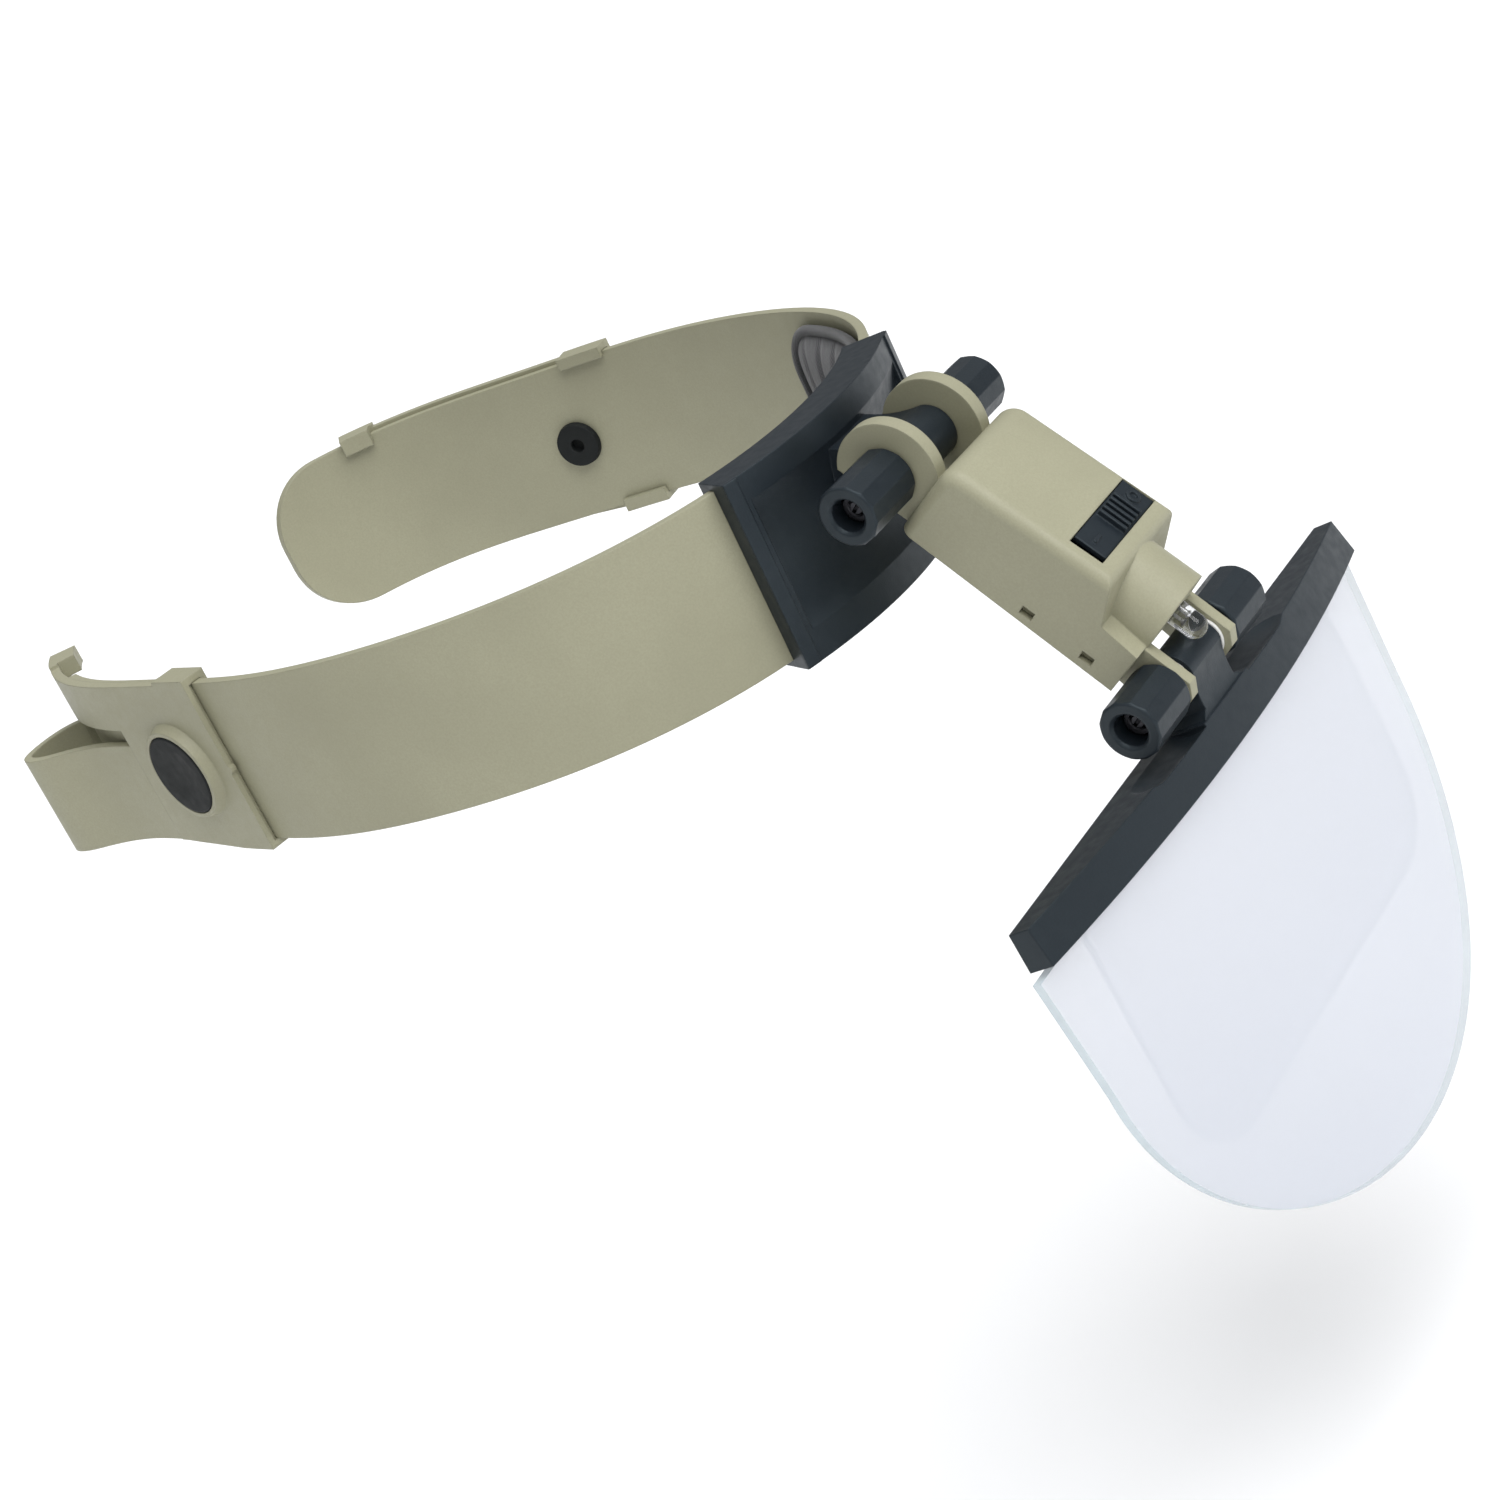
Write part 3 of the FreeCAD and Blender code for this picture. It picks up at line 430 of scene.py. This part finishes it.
def knob_facet(edge):
    """True for the long edges between the flats round a knob."""
    a, b = (v.co for v in edge.verts)
    middle = (a + b) / 2
    middle.x = 0.0
    out = min((middle - hinge).length for hinge in (HINGE_A, HINGE_B))
    turn = math.degrees(edge.calc_face_angle(0.0))
    return abs(a.x - b.x) > FACET_LENGTH and out > RECESS_CLEAR and turn > FACET_TURN


REFINED = {                 # each node's edge radius in millimetres, and its material
    "headband_strip": (0.45, BEIGE), "left_clip": (0.35, BEIGE), "right_clip": (0.35, BEIGE),
    "lamp_housing": (0.32, BEIGE), "battery_cover": (0.22, BEIGE),
    "front_carrier": (0.35, CHARCOAL), "visor_frame": (0.45, CHARCOAL),
    "left_tilt_knob": (0.16, CHARCOAL), "right_tilt_knob": (0.16, CHARCOAL),
    "left_visor_knob": (0.16, CHARCOAL), "right_visor_knob": (0.16, CHARCOAL),
    "switch_slider": (0.14, CHARCOAL),
    "left_clip_button": (0.12, BUTTON), "right_clip_button": (0.12, BUTTON),
    "left_visor_washer": (0.15, NYLON), "right_visor_washer": (0.15, NYLON),
    "tilt_bolt": (0.08, STEEL), "visor_bolt": (0.08, STEEL),
    "left_battery": (0.1, SLEEVE), "right_battery": (0.1, SLEEVE), "led_board": (0.06, BOARD),
}
for node, (radius, material) in REFINED.items():
    shell = refined(node, radius * MM, knob_facet if node.endswith("knob") else None)
    stand_for(shell, material, node)


def rimmed(node, sheet_material, rim_material, radius):
    """A clear plate whose rim faces carry their own material."""
    obj = refined(node, radius)
    stand_for(obj, sheet_material, node)
    obj.data.materials.append(rim_material)
    pitch = sheet_normal()
    for polygon in obj.data.polygons:
        across = polygon.normal.y * pitch.y + polygon.normal.z * pitch.z
        flat = Vector((polygon.normal.x, across, 0)).length
        polygon.material_index = 0 if flat > 0.93 and abs(across) > 0.8 else 1
    return obj


def sheet_normal():
    """Forward direction of the clear plates: the largest flat face of the lens says it."""
    faces = frame["nodes"]["lens_plate"].data.polygons
    largest = max(faces, key=lambda p: p.area)
    return largest.normal.copy() * (1.0 if largest.normal.y > 0 else -1.0)


rimmed("visor_shield", SHIELD, SHIELD_EDGE, 0.22 * MM)
rimmed("lens_plate", LENS, LENS_EDGE, 0.2 * MM)


# ==== forehead pad =========================================================================
def oval_radius(angle):
    return sum(c * math.cos(k * angle) for k, c in enumerate(OVAL))


def on_oval(angle, inwards, z):
    """A point inside the band's oval, at a polar angle from the front."""
    r = oval_radius(angle)
    slope = sum(-k * c * math.sin(k * angle) for k, c in enumerate(OVAL))
    sine, cosine = math.sin(angle), math.cos(angle)
    out = Vector((r * sine - slope * cosine, -r * cosine - slope * sine, 0))
    out.normalize()
    return Vector((r * sine, -r * cosine, z)) - out * inwards


def arc_table(limit, steps=400):
    """Angles from -limit to limit with the distance along the oval to each."""
    rows = []
    run = 0.0
    before = None
    for i in range(steps + 1):
        a = -limit + 2 * limit * i / steps
        p = on_oval(a, PAD_BACK, 0.0)
        run += (p - before).length if before else 0.0
        rows.append((run, a))
        before = p
    return rows


ARC = arc_table(math.radians(PAD_ANGLE))
PAD_LENGTH = ARC[-1][0]


def angle_at(distance):
    """The oval angle at a distance along the pad's back, from its right end."""
    distance = min(max(distance, 0.0), PAD_LENGTH)
    for (d0, a0), (d1, a1) in zip(ARC, ARC[1:]):
        if d1 >= distance:
            return a0 + (a1 - a0) * (distance - d0) / max(d1 - d0, 1e-9)
    return ARC[-1][1]


def half_height(distance):
    """Half the pad's height at a distance along it: full, with round ends."""
    end = min(distance, PAD_LENGTH - distance)
    if end >= PAD_CORNER:
        return PAD_HALF
    drop = PAD_CORNER - math.sqrt(max(PAD_CORNER ** 2 - (PAD_CORNER - end) ** 2, 0.0))
    return PAD_HALF - drop


def crown(distance, share):
    """How thick the pad is, as a share of its full thickness."""
    end = min(distance, PAD_LENGTH - distance)
    along = min(1.0, end / (2.2 * PAD_CORNER))
    return (1 - (1 - along) ** 3) * (1 - abs(share) ** 4)


def forehead_pad():
    """Closed quilted form: a held back, a held outline, and a front held only along its sewn channels."""
    bm = bmesh.new()
    sheets = []
    held = []
    cells = max(2, round(PAD_LENGTH / PAD_CELL))
    per_cell = PAD_COLUMNS // cells
    columns = cells * per_cell
    for side in (0, 1):
        rows = []
        for i in range(columns + 1):
            distance = PAD_LENGTH * i / columns
            half = max(half_height(distance), 1.2 * MM)
            column = []
            for j in range(PAD_ROWS + 1):
                share = -1 + 2 * j / PAD_ROWS
                rim = i in (0, columns) or j in (0, PAD_ROWS)
                if side and rim:
                    column.append(sheets[0][i][j])
                    continue
                channel = i % per_cell == 0
                deep = PAD_THICK * crown(distance, share) * (SEAM_DEPTH if channel else CELL_DEPTH)
                inwards = PAD_BACK + (deep + 0.7 * MM if side else 0.0)
                vertex = bm.verts.new(on_oval(angle_at(distance), inwards, share * half))
                column.append(vertex)
                if side == 0 or channel:
                    held.append(vertex)
            rows.append(column)
        sheets.append(rows)
    for side, rows in enumerate(sheets):
        for i in range(columns):
            for j in range(PAD_ROWS):
                loop = [rows[i][j], rows[i + 1][j], rows[i + 1][j + 1], rows[i][j + 1]]
                bm.faces.new(loop if side else loop[::-1])
    bm.verts.index_update()
    kept = [v.index for v in held]
    bmesh.ops.recalc_face_normals(bm, faces=bm.faces)
    obj = new_object("forehead_pad_cushion", bm)
    return obj, kept


def inflate(obj, kept):
    """Blow the pad up between its seams by cloth simulation, and keep the result within a cap."""
    group = obj.vertex_groups.new(name="sewn")
    group.add(kept, 1.0, "REPLACE")
    before = [v.co.copy() for v in obj.data.vertices]
    cloth = obj.modifiers.new("cloth", "CLOTH")
    cloth.settings.quality = 6
    cloth.settings.mass = 0.12
    cloth.settings.tension_stiffness = 22
    cloth.settings.compression_stiffness = 18
    cloth.settings.shear_stiffness = 8
    cloth.settings.bending_stiffness = 0.25
    cloth.settings.use_pressure = True
    cloth.settings.uniform_pressure_force = 4.0
    cloth.settings.vertex_group_mass = "sewn"
    cloth.settings.effector_weights.gravity = 0.0
    cloth.collision_settings.use_collision = False
    scene = bpy.context.scene
    cloth.point_cache.frame_start = 1
    cloth.point_cache.frame_end = PAD_FRAMES
    for number in range(1, PAD_FRAMES + 1):
        scene.frame_set(number)
    shape = obj.evaluated_get(bpy.context.evaluated_depsgraph_get()).to_mesh()
    after = [v.co.copy() for v in shape.vertices]
    obj.evaluated_get(bpy.context.evaluated_depsgraph_get()).to_mesh_clear()
    obj.modifiers.remove(cloth)
    scene.frame_set(1)
    for vertex, old, new in zip(obj.data.vertices, before, after):
        move = new - old
        if move.length > PAD_CAP:
            move *= PAD_CAP / move.length
        vertex.co = old + move


def outline(count=220):
    """Points along the pad's outline, closer together towards its ends, as (distance, height)."""
    points = []
    for sign in (1, -1):
        for i in range(count):
            t = i / (count - 1)
            ease = 0.5 - 0.5 * math.cos(math.pi * t)
            d = PAD_LENGTH * (ease if sign > 0 else 1 - ease)
            points.append((d, sign * max(half_height(d), 0.0)))
    return points


def tube_round(name, points, radius, sides):
    """A closed ring of tube through a list of points, as one mesh."""
    bm = bmesh.new()
    rings = []
    for i, p in enumerate(points):
        ahead = points[(i + 1) % len(points)]
        along = (ahead - points[i - 1]).normalized()
        out = Vector((p.x, p.y, 0)).normalized()
        across = along.cross(out).normalized()
        out = across.cross(along).normalized()
        ring = []
        for k in range(sides):
            a = 2 * math.pi * k / sides
            ring.append(bm.verts.new(p + across * radius * math.cos(a) + out * radius * math.sin(a)))
        rings.append(ring)
    for a, b in zip(rings, rings[1:] + rings[:1]):
        for k in range(sides):
            bm.faces.new((a[k], a[(k + 1) % sides], b[(k + 1) % sides], b[k]))
    bmesh.ops.recalc_face_normals(bm, faces=bm.faces)
    return new_object(name, bm)


def spaced(points, step):
    """The same closed path as evenly spaced points."""
    out = [points[0]]
    gap = 0.0
    for a, b in zip(points, points[1:] + points[:1]):
        length = (b - a).length
        at = step - gap
        while at <= length and length > 0:
            out.append(a.lerp(b, at / length))
            at += step
        gap = (gap + length) % step
    return out


pad, sewn = forehead_pad()
inflate(pad, sewn)
pad.modifiers.new("finer", "SUBSURF").render_levels = 1
pad.modifiers["finer"].levels = 1
shade(pad, 60.0, weighted=False)
stand_for(pad, KNIT, "forehead_pad")

edge_path = [on_oval(angle_at(d), PAD_BACK + BINDING_INWARDS, z) for d, z in outline()]
binding = tube_round("pad_binding", spaced(edge_path, BINDING_STEP), BINDING_RADIUS, 10)
shade(binding, 60.0, weighted=False)
extra(binding, BINDING, "headband")


# ==== details ===========================================================================
def across_hinge(origin, x):
    """A turn and place that carries local +Z to the hinge's direction, at a distance across."""
    turn = Matrix.Rotation(math.radians(90 if x > 0 else -90), 4, "Y")
    return Matrix.Translation((x, origin.y, origin.z)) @ turn


def lathe(bm, profile, sides, place, stretch=None):
    """Revolve (radius, height) points about local Z; ends on the axis close the form.

    stretch(ring, turn) may scale a ring's radius as it goes round, to give it flats."""
    rings = []
    for number, (radius, height) in enumerate(profile):
        if radius < 1e-7:
            rings.append([bm.verts.new(place @ Vector((0, 0, height)))])
            continue
        ring = []
        for k in range(sides):
            turn = 2 * math.pi * k / sides
            r = radius * (stretch(number, turn) if stretch else 1.0)
            ring.append(bm.verts.new(place @ Vector((r * math.cos(turn), r * math.sin(turn), height))))
        rings.append(ring)
    for a, b in zip(rings, rings[1:]):
        for k in range(sides):
            n = (k + 1) % sides
            loop = [a[k % len(a)], a[n % len(a)], b[n % len(b)], b[k % len(b)]]
            loop = [v for i, v in enumerate(loop) if v not in loop[:i]]
            if len(loop) > 2:
                bm.faces.new(loop)
    return rings


def hex_nut(name, origin, across, body):
    """A hexagon nut round the bolt, with its inner face this far across."""
    bm = bmesh.new()
    shoulder = NUT_THICK - NUT_BEVEL

    def six_sided(ring, turn):
        return 1 / math.cos(turn % (math.pi / 3) - math.pi / 6) if ring in (1, 2) else 1.0

    lathe(bm, [(NUT_BORE, 0.0), (NUT_FLATS, 0.0), (NUT_FLATS, shoulder),
               (NUT_FLATS - NUT_BEVEL / 3, NUT_THICK), (NUT_BORE + NUT_BEVEL, NUT_THICK),
               (NUT_BORE, shoulder), (NUT_BORE, 0.0)], 24, across_hinge(origin, across), six_sided)
    bmesh.ops.remove_doubles(bm, verts=bm.verts, dist=0.001 * MM)
    bmesh.ops.recalc_face_normals(bm, faces=bm.faces)
    extra(shade(new_object(name, bm)), STEEL, body)


def recess_floor(knob_node):
    """How far across the bottom of a knob's recess lies, from its outer face and its depth."""
    low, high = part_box(knob_node)
    return max(abs(low.x), abs(high.x)) - RECESS_DEPTH


for side, sign in (("left", 1), ("right", -1)):
    for kind, origin in (("tilt", HINGE_A), ("visor", HINGE_B)):
        across = sign * (recess_floor(f"{side}_{kind}_knob") + NUT_GAP)
        hex_nut(f"{side}_{kind}_nut", origin, across, f"{kind}_knob_{side[0]}")


def middle_of(node):
    """The mean of a node's vertices."""
    vertices = frame["nodes"][node].data.vertices
    return sum((v.co for v in vertices), Vector()) / len(vertices)


def lamp_forward():
    """Direction of the LED's axis: along the battery cover's flat face, from the board to the LED."""
    flat = max(frame["nodes"]["battery_cover"].data.polygons, key=lambda p: p.area).normal
    along = Vector((0, flat.z, -flat.y))
    low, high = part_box("led_board")
    from_board = middle_of("led_bulb") - 0.5 * (low + high)
    return (along if from_board.dot(along) > 0 else -along).normalized()


def led_place():
    """Where the LED stands, with local Z along its axis, and its length."""
    axis = lamp_forward()
    heights = [v.co.dot(axis) for v in frame["nodes"]["led_bulb"].data.vertices]
    start, end = min(heights), max(heights)
    centre = middle_of("led_bulb")
    base = centre + axis * (start - centre.dot(axis))
    low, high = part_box("led_bulb")
    base.x = 0.5 * (low.x + high.x)
    side = Vector((1, 0, 0))
    place = Matrix((side, axis.cross(side), axis)).transposed().to_4x4()
    place.translation = base
    return place, end - start


def led_lens(place, length):
    """The LED's clear body: a collar, a straight stretch and a round end."""
    low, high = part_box("led_bulb")
    radius = 0.5 * (high.x - low.x) * LED_ROUND
    collar = [(0.0, 0.0), (radius * 1.14, 0.0), (radius * 1.16, 0.15 * MM), (radius * 1.16, 0.9 * MM),
              (radius * 1.02, 1.05 * MM), (radius, 1.25 * MM)]
    dome = []
    for i in range(12):
        turn = math.pi / 2 * i / 12
        dome.append((radius * math.cos(turn), length - radius + radius * math.sin(turn)))
    bm = bmesh.new()
    lathe(bm, collar + dome + [(0.0, length)], 40, place)
    bmesh.ops.recalc_face_normals(bm, faces=bm.faces)
    stand_for(shade(new_object("led_lens", bm), 50.0, weighted=False), RESIN, "led_bulb")


def led_lead_frame(place, length):
    """The two posts inside the LED: one ends in a reflector cup, the other in a blunt tip."""
    cup = length * LED_CUP
    foot, wire = 0.6 * MM, 0.26 * MM
    cup_post = [(0.0, foot), (wire, foot), (wire, cup - 0.9 * MM), (0.8 * MM, cup), (0.62 * MM, cup),
                (0.3 * MM, cup - 0.45 * MM), (0.0, cup - 0.45 * MM)]
    plain_post = [(0.0, foot), (wire, foot), (0.28 * MM, cup - 1.0 * MM), (0.46 * MM, cup - 0.5 * MM),
                  (0.2 * MM, cup - 0.1 * MM), (0.0, cup - 0.1 * MM)]
    bm = bmesh.new()
    for profile, across in ((cup_post, -0.75 * MM), (plain_post, 0.95 * MM)):
        lathe(bm, profile, 12, place @ Matrix.Translation((across, 0, 0)))
    bmesh.ops.recalc_face_normals(bm, faces=bm.faces)
    extra(shade(new_object("led_lead_frame", bm)), LEADS, "lamp")


led_at, led_length = led_place()
led_lens(led_at, led_length)
led_lead_frame(led_at, led_length)


# ==== floor, light and camera ================================================================
def floor():
    """The plain pale floor, far larger than the object."""
    bm = bmesh.new()
    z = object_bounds()[0].z - FLOOR_DROP
    signs = ((-1, -1), (1, -1), (1, 1), (-1, 1))
    bm.faces.new([bm.verts.new((x * FLOOR_HALF, y * FLOOR_HALF, z)) for x, y in signs])
    obj = new_object("floor", bm)
    s = Shader("pale_floor")
    s.join(s.blended(s.noise(3.0), (0.90, 0.90, 0.905), (0.915, 0.915, 0.92)), s.surface.inputs["Base Color"])
    s.set(Roughness=1.0, Specular_IOR_Level=0.0)
    obj.data.materials.append(s.material)
    obj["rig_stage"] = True


def wide_light(name, source, strength, spread):
    """An even, distant soft light from one direction, spread over this many degrees."""
    light = bpy.data.lights.new(name, "SUN")
    light.energy = strength
    light.angle = math.radians(spread)
    obj = link(bpy.data.objects.new(name, light))
    obj.rotation_mode = "QUATERNION"
    obj.rotation_quaternion = (-Vector(source)).to_track_quat("-Z", "Y")


def camera():
    """The camera, turned by its azimuth, then its elevation, then its roll."""
    azimuth, elevation, roll = (math.radians(v) for v in (CAMERA_AZIMUTH, CAMERA_ELEVATION, CAMERA_ROLL))
    level_share = math.cos(elevation)
    forward = Vector((-math.sin(azimuth) * level_share, math.cos(azimuth) * level_share,
                      -math.sin(elevation)))
    level = Vector((math.cos(azimuth), math.sin(azimuth), 0))
    down = forward.cross(level)
    right = level * math.cos(roll) + down * math.sin(roll)
    up = level * math.sin(roll) - down * math.cos(roll)
    data = bpy.data.cameras.new("camera")
    data.lens = CAMERA_LENS
    data.sensor_width = CAMERA_SENSOR
    data.clip_start = 0.01
    data.clip_end = 200.0
    obj = link(bpy.data.objects.new("camera", data))
    place = Matrix((right, up, -forward)).transposed().to_4x4()
    place.translation = CAMERA_AT
    obj.matrix_world = place
    bpy.context.scene.camera = obj


def surroundings():
    """A white backdrop, lit from above by a soft sky that fades towards the horizon."""
    world = bpy.data.worlds.new("studio")
    bpy.context.scene.world = world
    world.use_nodes = True
    tree = world.node_tree
    sky = tree.nodes["Background"]
    sky.inputs["Color"].default_value = (0.97, 0.985, 1.0, 1.0)
    split = tree.nodes.new("ShaderNodeSeparateXYZ")
    tree.links.new(tree.nodes.new("ShaderNodeTexCoord").outputs["Generated"], split.inputs[0])
    fade = tree.nodes.new("ShaderNodeMapRange")
    fade.inputs["From Min"].default_value = 0.0
    fade.inputs["To Min"].default_value = SKY_LOW
    fade.inputs["To Max"].default_value = SKY_HIGH
    tree.links.new(split.outputs["Z"], fade.inputs["Value"])
    tree.links.new(fade.outputs["Result"], sky.inputs["Strength"])
    backdrop = tree.nodes.new("ShaderNodeBackground")
    backdrop.inputs["Color"].default_value = (1.0, 1.0, 1.0, 1.0)
    seen = tree.nodes.new("ShaderNodeLightPath").outputs["Is Camera Ray"]
    mix = tree.nodes.new("ShaderNodeMixShader")
    tree.links.new(seen, mix.inputs[0])
    tree.links.new(sky.outputs[0], mix.inputs[1])
    tree.links.new(backdrop.outputs[0], mix.inputs[2])
    tree.links.new(mix.outputs[0], tree.nodes["World Output"].inputs["Surface"])
    wide_light("key", KEY_FROM, KEY_STRENGTH, KEY_SPREAD)
    bpy.context.scene.view_settings.view_transform = "Standard"


floor()
surroundings()
camera()
